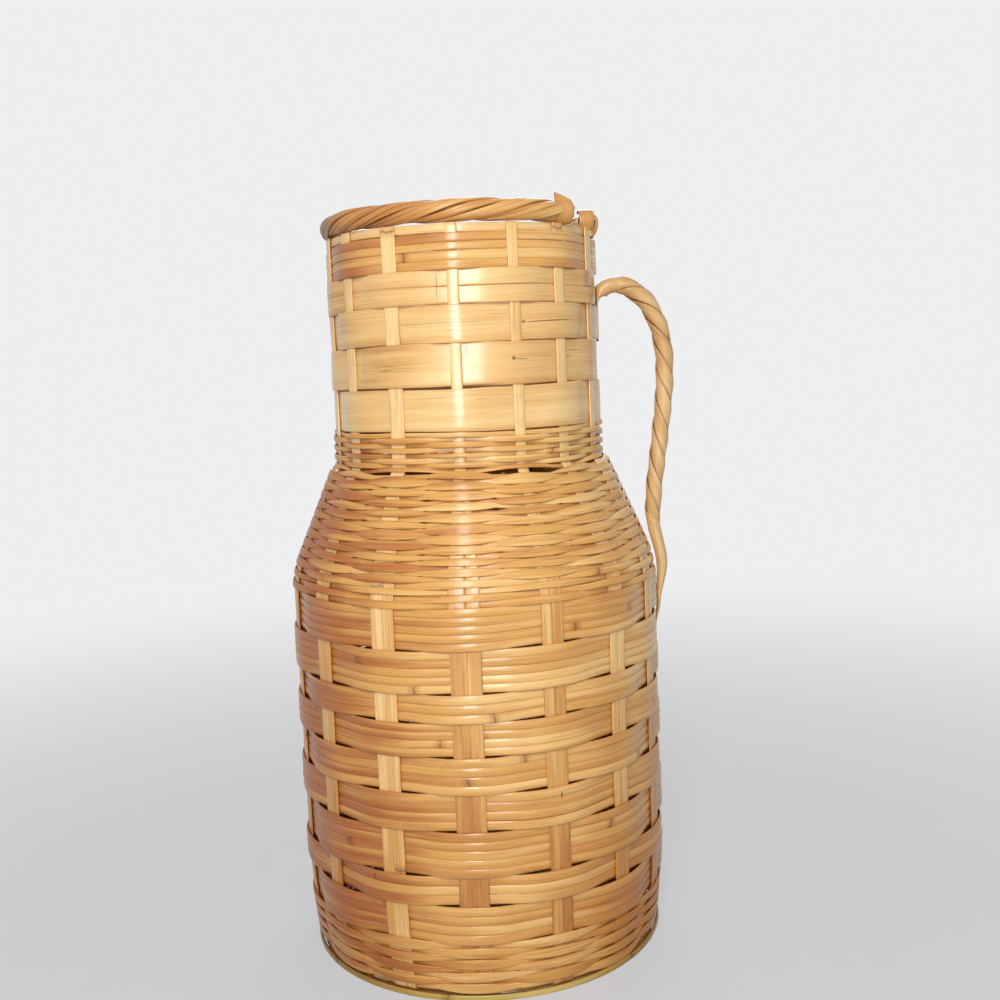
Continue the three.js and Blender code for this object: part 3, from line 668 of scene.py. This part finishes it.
# Front stakes by number: width in the body, width in the neck, sideways place at the foot, below the
# shoulder and in the neck, and the tints of the two splints. The others are drawn between limits.
FRONT_STAKES = {
    9: (15.0, 10.0, 0.0, 0.0, 0.0, 0.4, 0.6),
    10: (14.0, 9.2, -2.2, -0.3, -3.8, 0.3, 0.6),
    11: (16.4, 10.4, 0.3, 0.5, -2.8, 0.1, 0.15),
    12: (19.8, 7.6, -1.2, 1.5, 0.2, 1.5, 1.2),
    13: (14.4, 7.3, 3.8, 3.0, 1.2, 0.9, 1.5),
    14: (13.6, 8.8, 0.8, 3.4, -2.2, 0.1, 0.25),
    15: (15.0, 10.4, 0.0, 0.0, 0.0, 0.5, 0.8),
}
LEAST_STAKE = [13.0, 7.0, -1.2, -1.2, -1.0, 0, 0]
MOST_STAKE = [17.5, 10.0, 1.2, 1.2, 1.0, 1.2, 1.2]

stake_rng = np.random.default_rng(77)
for stake in range(STAKE_COUNT):
    angle = true_angle(stake / STAKE_COUNT * TURN)
    split = stake_rng.uniform(0.44, 0.56)
    drawn = stake_rng.uniform(LEAST_STAKE, MOST_STAKE)
    wide, neck_width, *shifts, first_tint, second_tint = FRONT_STAKES.get(stake, drawn)
    first = wide * split + 0.1
    second = wide * (1 - split) + 0.1
    beside = (wide - second) / 2
    strands = [
        stake_splint(angle, shifts, RIM_SEAT, 700 + stake, first_tint,
                     ((first - wide) / 2, first), (0.0, neck_width)),
        stake_splint(angle, shifts, SECOND_SPLINT_TOP, 750 + stake, second_tint,
                     (beside, second), (beside / 2, second / 4)),
    ]
    name = f"stake_{stake + 1:02d}"
    make_piece(f"{name}_splints", strands, stake_finish, "stake_splint", name)


# Rim

# Reeds of one strand of the roll: angle from the strand's middle, distance from the roll's middle
# line, width and thickness. The last one is the round cane inside.
RIM_REEDS = [(-48, 5.2, 3.4, 2.1), (-17, 6.1, 3.7, 2.0), (14, 6.2, 3.6, 2.0), (43, 5.3, 3.4, 2.2),
             (0, 2.6, 5.0, 5.0)]


def roll_line():
    """The middle line of the roll with its two cross directions: a short upright start, a quarter
    circle that turns it along the rim, then the circle of the mouth. The start is thinner and rests
    on the rim hoop. The last two results are the length along the line and the share of thickness."""
    bend_radius = 6.0
    circle = np.linspace(ROLL_START + 3.0 / ROLL_MIDDLE, ROLL_END, 330)
    turn = np.linspace(np.pi / 2, 0, 14)[:-1, None]
    rise = np.linspace(-4.0, 0, 6)[:-1, None]
    outward = outward_at(circle[0])
    tangent = tangent_at(circle[0])
    begin = ROLL_MIDDLE * outward + ROLL_HEIGHT * UP
    bend = begin - bend_radius * (np.sin(turn) * tangent + (1 - np.cos(turn)) * UP)
    foot = bend[0] + rise * UP
    ring_out = outward_at(circle)
    ring = ROLL_MIDDLE * ring_out + ROLL_HEIGHT * UP
    line = np.concatenate([foot, bend, ring])
    out = np.concatenate([np.broadcast_to(outward, (len(foot) + len(bend), 3)), ring_out])
    bend_up = np.cos(turn) * UP - np.sin(turn) * tangent
    up = np.concatenate([np.broadcast_to(-tangent, foot.shape), bend_up,
                         np.broadcast_to(UP, ring.shape)])
    length = lengths_along(line)
    grown = np.interp(length, [0, 14, 60], [0.76, 0.8, 1.0])
    line = line - ((1 - grown) * 12)[:, None] * UP
    return line, out, up, length, grown


def rim_strand(number):
    """Four flat reeds over a round one that wind about the middle line of the roll: the angle about
    that line is the strand's place plus a steady twist and a slow drift, and the distance from it
    drifts too."""
    line, roll_out, roll_up, length, grown = roll_line()
    strands = []
    round_trip = length / length[-1] * TURN
    for place, (spread, orbit, wide, thick) in enumerate(RIM_REEDS):
        seed = 8100 + 50 * number + 7 * place
        twist = number / ROLL_STRANDS * TURN + ROLL_TWISTS * (length - 20) / ROLL_MIDDLE
        twist = twist + math.radians(spread) + wander(round_trip, seed + 1, 0.2, 16)
        reach = (orbit + wander(round_trip, seed, 0.6, 18)) * grown
        out = np.cos(twist)[:, None] * roll_out + np.sin(twist)[:, None] * roll_up
        path = line + reach[:, None] * out
        side, out = square_to(path, out)
        tint = np.random.default_rng(8300 + 9 * number + place).uniform()
        strands.append(swept_strand(path, side, out, wide * grown, thick * grown,
                                    round_profile(10) if wide == thick else reed, tint))
    return strands


def roll_binding(angle, level, facing, begin, turn, reach, width, rise, tint):
    """A broad splint over an end of the roll: its line follows a circle about the roll's middle line
    from below the front to above it, then rises, and its cut end slants."""
    bent = 0.75
    share = np.linspace(0, 1, 30)
    around = np.radians(begin + turn * np.minimum(share / bent, 1))
    lift = np.clip((share - bent) / (1 - bent), 0, 1)
    face = unit(np.array([*facing, 0]))
    side = np.array([-face[1], face[0], 0])
    middle = ROLL_MIDDLE * outward_at(angle) + level * UP
    path = middle + (reach * np.cos(around) - 1.2 * lift)[:, None] * face
    path = path + (reach * np.sin(around) + rise * lift)[:, None] * UP
    along = unit(np.gradient(path, axis=0))
    widths = width * np.interp(share, [0, 0.6, 1], [0.85, 1.0, 0.92])
    wrapped = swept_strand(path, side, np.cross(side, along), widths, 1.3, splint, tint)
    wrapped["points"][..., 2] -= rise / 10 * (lift ** 1.5)[:, None] * wrapped["across"]
    return wrapped


for number in range(ROLL_STRANDS):
    strands = rim_strand(number)
    if number == 0:
        strands.append(roll_binding(ROLL_END - 0.085, ROLL_HEIGHT, (0.45, -0.89), begin=-75, turn=125,
                                    reach=7.9, width=13.0, rise=3.5, tint=1.3))
    name = f"rim_strand_{number + 1}"
    make_piece(f"{name}_reeds", strands, rim_finish, "rim_reed", name)


def rim_hoop():
    """A flat splint bent to a ring inside the stakes."""
    even = np.linspace(0, TURN, 241)[:-1]
    radius = NECK_RADIUS - 2.2 + wander(even, 8801, 0.25)
    height = RIM_HOOP_HEIGHT + wander(even, 8802, 0.3)
    outward = outward_at(even)
    path = radius[:, None] * outward + height[:, None] * UP
    return [swept_strand(path, UP, outward, 5.6, 1.9, splint, 0.35, True)]


make_piece("rim_hoop_splint", rim_hoop(), neck_finish, "neck_splint", "rim_hoop")


def rim_lashing():
    """A narrow splint wound three times about the roll's thin start and the hoop: an oval, round
    above and longer below, that moves sideways as it goes round."""
    around = np.linspace(-0.6 * np.pi, 5.6 * np.pi, 170)[:, None]
    above = 6.7
    below = 10.6
    radius = ROLL_MIDDLE + above * np.cos(around)
    height = LASHING_HEIGHT + np.where(np.sin(around) > 0, above, below) * np.sin(around)
    sideways = np.linspace(-4.4, 4.4, len(around))[:, None] + 0.4 * np.sin(around)
    outward = outward_at(LASHING_ANGLE)
    path = radius * outward + sideways * tangent_at(LASHING_ANGLE) + height * UP
    middle = ROLL_MIDDLE * outward + (LASHING_HEIGHT - 2.2) * UP
    side, out = square_to(path, path - middle)
    return [swept_strand(path, side, out, 3.3, 0.9, splint, 2.6),
            roll_binding(LASHING_ANGLE - 0.11, ROLL_HEIGHT - 2.4, (0.05, -1.0), begin=-112, turn=235,
                         reach=6.9, width=10.5, rise=0.0, tint=3.0)]


make_piece("rim_lashing_splint", rim_lashing(), neck_finish, "neck_splint", "rim_lashing")


# Handle

def bezier(start, start_rise, stop, stop_rise, steps):
    """A cubic curve in the plane of radius and height whose end tangents are upright."""
    share = np.linspace(0, 1, steps)[:, None]
    first = start + np.array([0, start_rise])
    last = stop + np.array([0, stop_rise])
    return ((1 - share) ** 3 * start + 3 * (1 - share) ** 2 * share * first
            + 3 * (1 - share) * share ** 2 * last + share ** 3 * stop)


def handle_line():
    """The handle's middle line in radius and height: up under the neck row, over the arch, down to
    a waist beside the shoulder, out round the body and in under the row that holds the tail. The
    second result is the length along it, the third the lengths where its stretches begin and, last,
    where it ends."""
    on_stake = STAKE_THICKNESS / 2 + WEAVE_GAP + TONGUE_THICKNESS / 2
    over_row = STAKE_THICKNESS / 2 + WEAVE_GAP + ROW_THICKNESS + WEAVE_GAP
    over_top = GIRDLE_BOTTOM
    over_bottom = over_top - BODY_BAND_HEIGHTS[8]
    hold_top = over_bottom - BODY_BAND_HEIGHTS[7]
    hold_bottom = hold_top - BODY_BAND_HEIGHTS[6]
    under = over_bottom - WEAVE_GAP
    waist_height = SHOULDER_BOTTOM + 18.6
    tongue = np.array([NECK_RADIUS + on_stake, HANDLE_ROW_BOTTOM - 6])
    arch = np.array([NECK_RADIUS + on_stake, HANDLE_ROW_TOP])
    outermost = np.array([BODY_RADIUS + 13.5, HANDLE_ROW_TOP - 43])
    waist = np.array([wall_radius(waist_height) + 14, waist_height])
    bulge = np.array([wall_radius(over_top) + over_row + 4.9, over_top])
    tip = np.array([wall_radius(under) + over_row + 1.5, under])
    seat = np.array([wall_radius(hold_top) + on_stake, hold_top + (under - hold_top) / 3])
    tail = np.array([wall_radius(hold_bottom) + on_stake, hold_bottom - 6])
    drops = -np.diff([outermost[1], waist[1], bulge[1], tip[1], seat[1]])
    descent, swell, overlap, tuck = drops
    stretches = [
        np.linspace(tongue, arch, 20),
        bezier(arch, 25, outermost, 63, 70),
        bezier(outermost, -descent / 3, waist, descent / 4, 110),
        bezier(waist, -swell / 3, bulge, swell / 3, 30),
        bezier(bulge, -overlap / 3, tip, overlap / 3, 30),
        bezier(tip, -tuck / 3, seat, tuck / 3, 20),
        np.linspace(seat, tail, 14),
    ]
    line = np.concatenate([tongue[None]] + [stretch[1:] for stretch in stretches])
    along = lengths_along(line)
    begins = along[np.cumsum([0] + [len(stretch) - 1 for stretch in stretches])]
    return line, along, begins


handle_points, handle_lengths, handle_begins = handle_line()
handle_tangents = unit(np.gradient(handle_points, axis=0))
handle_outs = np.stack([-handle_tangents[:, 1], handle_tangents[:, 0]], -1)
HANDLE_SIDE = np.array([0, 1.0, 0])
WRAP_START = handle_begins[1] + 24.0
WRAP_END = handle_begins[3] + 8.0


def handle_frame(length):
    """The point and the outward normal of the handle's line at lengths along it, in space."""
    def in_space(flat):
        x, z = (np.interp(length, handle_lengths, column) for column in flat.T)
        return np.stack([x, np.zeros_like(x), z], -1)

    return in_space(handle_points), unit(in_space(handle_outs))


def handle_core():
    """The core: an oval carried along the line. It is flat under the neck row, fills out as fast as
    the stake leaves room for it, is round under the wraps and thins to a flat tail below them."""
    stops = [0, handle_begins[1], WRAP_START - 6, WRAP_START + 14, WRAP_END, handle_begins[4],
             handle_begins[5], handle_begins[6], handle_begins[7]]
    most = np.interp(handle_lengths, stops, [1.6, 10.9, 10.9, 10.4, 9.2, 8.0, 3.0, 1.6, 1.6])
    wide = np.interp(handle_lengths, stops, [6.0, 10.5, 11.2, 10.4, 9.2, 10.0, 7.5, 6.5, 6.0])
    path, out = handle_frame(handle_lengths)
    room = (path[:, 0] - NECK_RADIUS - STAKE_THICKNESS / 2) / np.maximum(-out[:, 0], 0.05)
    room = np.where(handle_lengths < WRAP_START, 2 * room - 0.6, 99.0)
    thick = np.clip(room, 1.2, most)
    core = swept_strand(path, HANDLE_SIDE, out, wide, thick, round_profile(20), 0.3)
    keep = handle_lengths > 3.5
    return [strand(core["points"][keep], core["across"][keep], core["tint"], False, edged=False)]


def handle_wrap(number):
    """A splint twisted round the core: its angle about the core grows steadily with length, and
    one edge lies under the next splint while the other stands proud. Both ends sink into the core,
    and the angle and the height waver a little along it."""
    length = np.linspace(WRAP_START - 3, WRAP_END, 190)
    share = (length - length[0]) / (length[-1] - length[0])
    path, out = handle_frame(length)
    turn = (number / WRAP_COUNT + (length - WRAP_START) / WRAP_LEAD + 0.12) * TURN
    turn = turn + wander(share * TURN, 8600 + number, 0.13, 18)
    size = 1.05 - 0.16 * share + wander(share * TURN, 8610 + number, 0.035, 22)
    upper_end = np.maximum(1 - share / 0.045, 0)
    lower_end = np.maximum(1 - (1 - share) / 0.09, 0)
    sunk = 1.7 * (upper_end ** 2 + lower_end ** 2)
    spread = np.radians(np.linspace(-64, 62, 9))
    outer = np.interp(np.linspace(0, 1, 9), [0, 0.5, 0.9, 1], [5.45, 6.15, 6.75, 6.45])
    inner = outer - np.array([0.5, 0.85, 0.9, 0.9, 0.9, 0.9, 0.9, 0.85, 0.5])
    around = turn[:, None] + np.concatenate([spread, spread[::-1]])[None]
    radius = size[:, None] * np.concatenate([outer, inner[::-1]])[None] - sunk[:, None]
    points = path[:, None] + (radius * np.cos(around))[..., None] * out[:, None]
    points = points + (radius * np.sin(around))[..., None] * HANDLE_SIDE
    across = np.concatenate([spread, spread[::-1]]) * 6.0
    return [strand(points, across, 0.15 + 0.3 * number, False)]


make_piece("handle_core_cane", handle_core(), handle_finish, "handle_splint", "handle_core")
for number in range(WRAP_COUNT):
    name = f"handle_wrap_{number + 1}"
    make_piece(f"{name}_splint", handle_wrap(number), handle_finish, "handle_splint", name)


# Foot

def foot_hoop():
    """A split bamboo bent to a ring round the feet of the stakes."""
    outward = outward_at(np.linspace(0, TURN, 321)[:-1])
    path = (FOOT_RADIUS + 2.3) * outward + FOOT_HOOP_HEIGHT * UP
    return [swept_strand(path, UP, outward, 3.9, 1.9, reed, 0.4, True)]


make_piece("foot_hoop_cane", foot_hoop(), foot_finish, "foot_bamboo", "foot_hoop")


def mat_ring(radius, parity, seed):
    """A flat reed that goes round the mat over one spoke and under the next: its height is the
    middle of the mat plus a softened cosine of eight times the angle."""
    even = np.linspace(0, TURN, 193)[:-1]
    height = MAT_MIDDLE + 0.5 * np.tanh(1.3 * np.cos(even * MAT_SPOKES / 2 + np.pi * parity))
    far = radius + wander(even, seed, 0.15)
    outward = outward_at(even)
    path = far[:, None] * outward + height[:, None] * UP
    tint = np.random.default_rng(seed).uniform()
    return swept_strand(path, -outward, UP, 4.5, 1.2, reed, tint, True)


def mat_spoke(angle, tint):
    """A tapered splint from the centre of the mat to its edge."""
    far = np.linspace(MAT_HOLE, MAT_RADIUS, 24)
    path = far[:, None] * outward_at(angle) + MAT_MIDDLE * UP
    width = np.interp(far, [5, 30, 122], [2.0, 8.0, 10.0])
    return swept_strand(path, -tangent_at(angle), UP, width, 0.8, splint, tint)


mat_strands = [mat_ring(9.0 + MAT_RING_PITCH * ring, ring, 9900 + ring) for ring in range(MAT_RINGS)]
mat_strands += [mat_spoke(spoke / MAT_SPOKES * TURN, (spoke * 0.37) % 1)
                for spoke in range(MAT_SPOKES)]
make_piece("base_mat_weave", mat_strands, fine_finish, "fine_reed", "base_mat")


# Studio

BACKDROP = (0.86, 0.86, 0.87)


def seen_rays(add):
    """1 for rays that show the backdrop: from the camera, a mirror or clear glass; 0 for light."""
    rays = add("LightPath").outputs
    thrown = math_node(add, "MAXIMUM", rays["Is Glossy Ray"], rays["Is Transmission Ray"])
    return math_node(add, "MAXIMUM", rays["Is Camera Ray"], thrown)


def studio_floor():
    """A wide pale floor that takes the basket's shadow and turns into the backdrop with distance."""
    finish, tree, shader, add = nodes_of("floor_paper")
    place = add("TexCoord").outputs["Object"]
    soft = add("TexNoise", None, Vector=place, Scale=40.0, Detail=3.0).outputs["Fac"]
    tone = blend_colours(add, soft, (0.40, 0.40, 0.40), (0.43, 0.43, 0.43))
    tree.links.new(tone, shader.inputs["Base Color"])
    shader.inputs["Roughness"].default_value = 0.9
    far = add("VectorMath", {"operation": "LENGTH"}, _0=place).outputs["Value"]
    fade = math_node(add, "MULTIPLY", ramp_node(add, far, 0.2, 1.5, 0.5, 1.0), seen_rays(add))
    glow = add("Emission", None, Color=(*BACKDROP, 1.0), Strength=1.0).outputs[0]
    mixed = add("MixShader", None, _0=fade, _1=shader.outputs[0], _2=glow).outputs[0]
    tree.links.new(mixed, tree.nodes["Material Output"].inputs[0])
    size = 30.0
    mesh = bpy.data.meshes.new("studio_floor")
    mesh.from_pydata([(-size, -size, 0), (size, -size, 0), (size, size, 0), (-size, size, 0)], [],
                     [(0, 1, 2, 3)])
    mesh.materials.append(finish)
    floor = bpy.data.objects.new("studio_floor", mesh)
    bpy.context.scene.collection.objects.link(floor)


studio_floor()


def stand(name, data, right, up, back, place):
    """A lamp or camera at a place, turned so that its own axes lie along three unit vectors."""
    holder = bpy.data.objects.new(name, data)
    bpy.context.scene.collection.objects.link(holder)
    pose = np.eye(4)
    pose[:3] = np.stack([right, up, back, place], -1)
    holder.matrix_world = Matrix(pose.tolist())
    return holder


def studio_light(name, place, aim, wide, tall, power):
    """A soft oblong lamp that faces a point."""
    lamp = bpy.data.lights.new(name, "AREA")
    lamp.shape = "RECTANGLE"
    lamp.size = wide
    lamp.size_y = tall
    lamp.energy = power
    back = unit(np.array(place) - np.array(aim))
    right = unit(np.cross(UP, back))
    stand(name, lamp, right, np.cross(back, right), back, place)


studio_light("key_lamp", (-0.1, -1.15, 0.74), (0, 0, 0.28), 0.22, 1.1, 14)
studio_light("left_lamp", (-1.9, -0.5, 1.3), (0, 0, 0.25), 1.2, 1.2, 2.2)
studio_light("right_lamp", (1.9, -0.6, 1.2), (0, 0, 0.25), 1.2, 1.2, 1.8)
studio_light("back_lamp", (0.3, 2.0, 1.6), (0, 0, 0.3), 1.4, 1.4, 22)



def studio_world():
    """Soft white light from all round, with the backdrop for the rays that show it."""
    world = bpy.data.worlds.new("studio")
    bpy.context.scene.world = world
    world.use_nodes = True
    tree = world.node_tree
    add = node_adder(tree)
    ambient = tree.nodes["Background"]
    ambient.inputs["Color"].default_value = (1.0, 1.0, 1.0, 1.0)
    ambient.inputs["Strength"].default_value = 0.24
    paper = add("Background", None, Color=(*BACKDROP, 1.0)).outputs[0]
    either = add("MixShader", None, _0=seen_rays(add), _1=ambient.outputs[0], _2=paper)
    tree.links.new(either.outputs[0], tree.nodes["World Output"].inputs[0])


studio_world()


def photo_camera():
    """The camera at the photograph's place: turned by yaw, tipped down by pitch and rolled. Its lens
    is the sensor's width times the focal length over the photograph's width, both in pixels."""
    yaw, pitch, roll = (math.radians(value) for value in (1.41, 6.39, -2.37))
    level = np.array([math.sin(yaw), math.cos(yaw), 0])
    right = np.array([math.cos(yaw), -math.sin(yaw), 0])
    back = math.sin(pitch) * UP - math.cos(pitch) * level
    up = math.cos(pitch) * UP + math.sin(pitch) * level
    rolled_right = math.cos(roll) * right + math.sin(roll) * up
    rolled_up = math.cos(roll) * up - math.sin(roll) * right
    data = bpy.data.cameras.new("photo_camera")
    data.sensor_fit = "HORIZONTAL"
    data.sensor_width = 36.0
    data.lens = data.sensor_width * 1172.3 / 1000
    data.clip_start = 0.01
    place = (0.0, -0.8332, 0.4011)
    bpy.context.scene.camera = stand("photo_camera", data, rolled_right, rolled_up, back, place)


photo_camera()
bpy.context.scene.view_settings.view_transform = "Standard"
